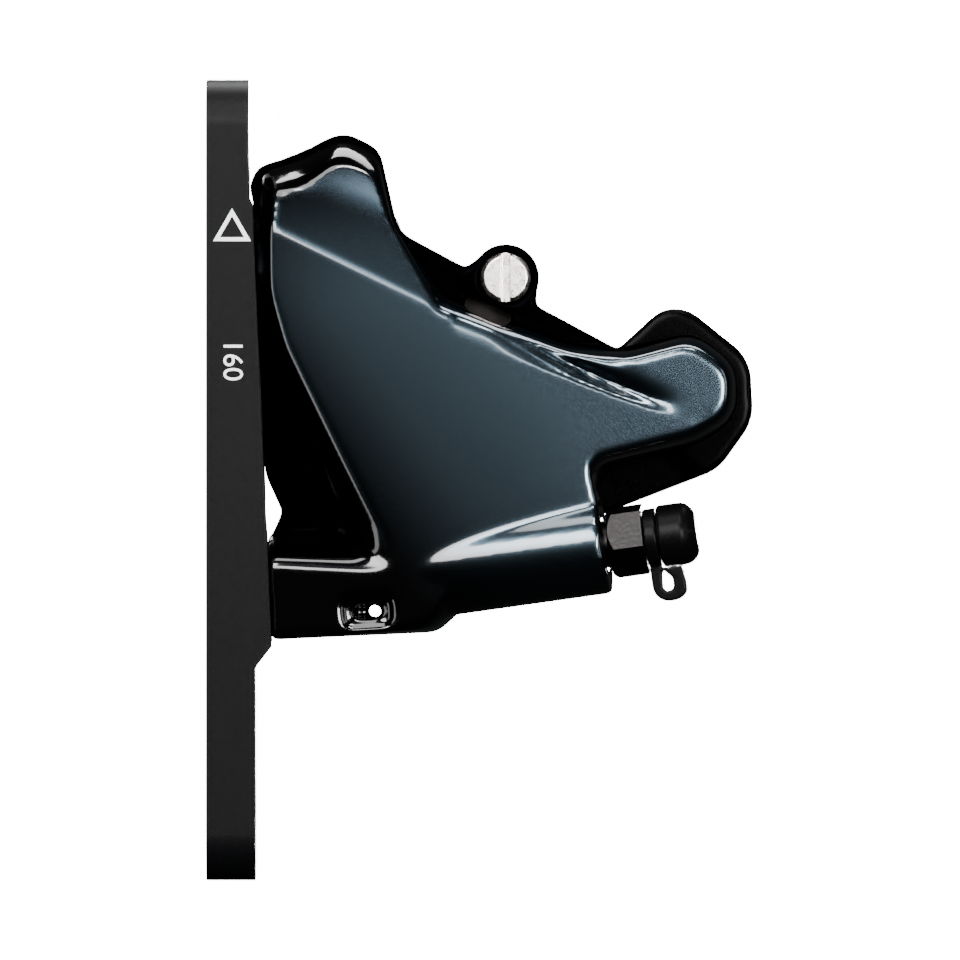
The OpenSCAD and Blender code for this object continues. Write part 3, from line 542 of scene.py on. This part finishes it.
# The pad plates' steel is kept very dark: partly its own dark tone, partly painted shade, as the plates sit
# deep in the caliper.
shaded_plate_steel = finish(
    "shaded_plate_steel", (0.006, 0.0052, 0.005), (0.012, 0.0104, 0.0099), metallic=0.8, rough=(0.4, 0.5),
    grain=1200, bump=0.3, shine=0.1)
spring_steel = finish("spring_steel", (0.5, 0.5, 0.5), (0.6, 0.6, 0.6), metallic=1.0, rough=(0.25, 0.35))
ceramic = finish("white_ceramic", (0.72, 0.7, 0.66), (0.8, 0.78, 0.74), metallic=0.0, rough=(0.3, 0.36))
resin = finish(
    "pad_resin", (0.06, 0.05, 0.045), (0.16, 0.14, 0.12), metallic=0.1, rough=(0.8, 0.95),
    grain=1500, bump=0.8, drift=900)
rubber = finish(
    "black_rubber", (0.0008, 0.0008, 0.0008), (0.0012, 0.0012, 0.0012), metallic=0.0, rough=(0.34, 0.4),
    grain=2500, bump=0.2, shine=0.06)
ink = finish("white_ink", (0.8, 0.8, 0.8), (0.86, 0.86, 0.86), metallic=0.0, rough=(0.5, 0.6))
print("finishes:", len(bpy.data.materials))

# %% [markdown]
# ## Which piece has which finish
# The pieces made above and the CAD nodes that are shown as they are get their finish from one list, so
# none is forgotten.

# %% Give each piece its finish
PIECE_FINISH = {
    front_half: lacquer, back_half: shaded_back_lacquer, bracket: anodised, axle: bright_steel,
    nipple: grained_steel, cap: rubber, tether: rubber, pad_spring: spring_steel, triangle: ink, number: ink,
}
NODE_FINISH = {
    "caliper_bolts": bolt_steel, "body_bolts": bolt_steel, "transfer_seal": rubber,
    "piston_outboard": ceramic, "piston_inboard": ceramic,
    "piston_seal_outboard": rubber, "piston_seal_inboard": rubber,
    "pad_plate_outboard": shaded_plate_steel, "pad_plate_inboard": shaded_plate_steel, "pad_lining_outboard": resin,
    "pad_lining_inboard": resin, "pad_axle_clip": spring_steel, "bleed_seal": rubber,
}
for obj, material in PIECE_FINISH.items():
    obj.data.materials.clear()
    obj.data.materials.append(material)
for name, material in NODE_FINISH.items():
    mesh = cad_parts[name].data
    mesh.materials.clear()
    mesh.materials.append(material)
print("dressed:", len(PIECE_FINISH), "pieces and", len(NODE_FINISH), "nodes")

# %% [markdown]
# ## Floor
# A pale floor lies under the bracket. It is as white as the background, and it is kept out of reflections, so
# that it doesn't fog the glossy coating.

# %% Floor
VIEW_CENTRE = Vector((29.4 * MM, 0, 0))
FLOOR_GAP = 12 * MM
FLOOR_Z = cad_box[0][2] - FLOOR_GAP
FLOOR_SIZE = 1.6
WHITE = 16

bpy.ops.object.select_all(action="DESELECT")
bpy.ops.mesh.primitive_plane_add(size=FLOOR_SIZE, location=(VIEW_CENTRE.x, 0, FLOOR_Z))
floor = bpy.context.object
floor.name = "floor"
pale = finish("pale_floor", (0.86, 0.86, 0.86), (0.88, 0.88, 0.88), metallic=0.0, rough=(0.9, 0.95), drift=3)
glow = pale.node_tree.nodes["Principled BSDF"].inputs
glow["Emission Color"].default_value = (1, 1, 1, 1)
glow["Emission Strength"].default_value = WHITE
floor.data.materials.append(pale)
floor.visible_glossy = False
floor.visible_diffuse = False
print("floor at", round(FLOOR_Z / MM, 1), "mm")

# %% [markdown]
# ## World
# The world is white to the camera and dark to reflections, so that the coating shows the soft boxes and not
# an even glare.

# %% World
GLOOM = 0.02

world = bpy.data.worlds.new("studio")
bpy.context.scene.world = world
world.use_nodes = True
sky = world.node_tree
sky.nodes.clear()
path = add(sky, "ShaderNodeLightPath")
white = add(sky, "ShaderNodeBackground")
white.inputs["Color"].default_value = (1, 1, 1, 1)
white.inputs["Strength"].default_value = WHITE
gloom = add(sky, "ShaderNodeBackground")
gloom.inputs["Color"].default_value = (0.9, 0.95, 1, 1)
gloom.inputs["Strength"].default_value = GLOOM
choose = add(sky, "ShaderNodeMixShader")
out = add(sky, "ShaderNodeOutputWorld")
sky.links.new(path.outputs["Is Camera Ray"], choose.inputs["Fac"])
sky.links.new(gloom.outputs["Background"], choose.inputs[1])
sky.links.new(white.outputs["Background"], choose.inputs[2])
sky.links.new(choose.outputs["Shader"], out.inputs["Surface"])
print("world:", world.name)

# %% [markdown]
# ## Camera
# The photograph is taken square on to the caliper's outer side. A long lens from far away keeps the walls of
# the body from showing beside the face, as they would from close by.

# %% Camera
VIEW_WIDTH = 103.23 * MM
CAMERA_DISTANCE = 3.0
SENSOR_WIDTH = 36
FARTHEST = 20

camera_data = bpy.data.cameras.new("camera")
camera_data.sensor_width = SENSOR_WIDTH
camera_data.lens = SENSOR_WIDTH * CAMERA_DISTANCE / VIEW_WIDTH
camera_data.clip_end = FARTHEST
camera = bpy.data.objects.new("camera", camera_data)
bpy.context.scene.collection.objects.link(camera)
camera.location = VIEW_CENTRE + Vector((0, -CAMERA_DISTANCE, 0))
camera.rotation_euler = (math.radians(90), 0, 0)
bpy.context.scene.camera = camera
print("lens in mm", round(camera_data.lens))

# %% [markdown]
# ## Lights
# A glossy dark coating shows little but the lights themselves, so each soft box has one job. Two over the
# camera fill the face, which grows darker as it leans away from them, and a small one beside them lights
# the ridge. Two overhead and one behind draw the bright bands on the top lobe and the boss. Those at the left
# and right edge the walls and the nipple. Two small ones straight behind are for views from the back, and a
# flag keeps them off the front half, as a photographer would hang a black card.


# %% Soft boxes
AIM = Vector((25, 0, 5)) * MM


def softbox(name, right, up, distance, size, power):
    """A rectangle of light, placed by its angles from the camera's direction as the caliper sees it."""
    data = bpy.data.lights.new(name, "AREA")
    data.shape = "RECTANGLE"
    data.size, data.size_y = size
    data.energy = power
    light = bpy.data.objects.new(name, data)
    bpy.context.scene.collection.objects.link(light)
    right, up = math.radians(right), math.radians(up)
    way = Vector((math.sin(right) * math.cos(up), -math.cos(right) * math.cos(up), math.sin(up)))
    light.location = AIM + way * distance
    light.rotation_euler = (-way).to_track_quat("-Z", "Y").to_euler()
    light.visible_camera = False
    return light


# Name, degrees to the right and up, distance and size in metres, power in watts
softbox("over_camera", -10.5, 15, 0.5, (0.24, 0.0875), 1.75)
softbox("over_left", -16, 27.5, 0.5, (0.176, 0.132), 2.3)
softbox("ridge", 7, 13, 0.5, (0.035, 0.035), 0.06)
softbox("overhead", 22, 55, 0.3, (0.085, 0.042), 0.6)
softbox("upper_left", -10, 60.5, 0.144, (0.055, 0.045), 0.08)
softbox("behind", -22, 115, 0.3, (0.26, 0.14), 1.5)
softbox("right", 62, 12, 0.4, (0.12, 0.25), 0.3)
softbox("right_near", 27, 3, 0.22, (0.06, 0.06), 0.6)
softbox("left", -45, 0, 0.4, (0.12, 0.3), 0.5)
flag = bpy.data.collections.new("flag")
flag.objects.link(front_half)
flag.collection_objects[0].light_linking.link_state = "EXCLUDE"
for name, right in (("back_left", 188), ("back_right", 172)):
    softbox(name, right, 5, 0.5, (0.1, 0.12), 24).light_linking.receiver_collection = flag
print("lights:", len(bpy.data.lights))
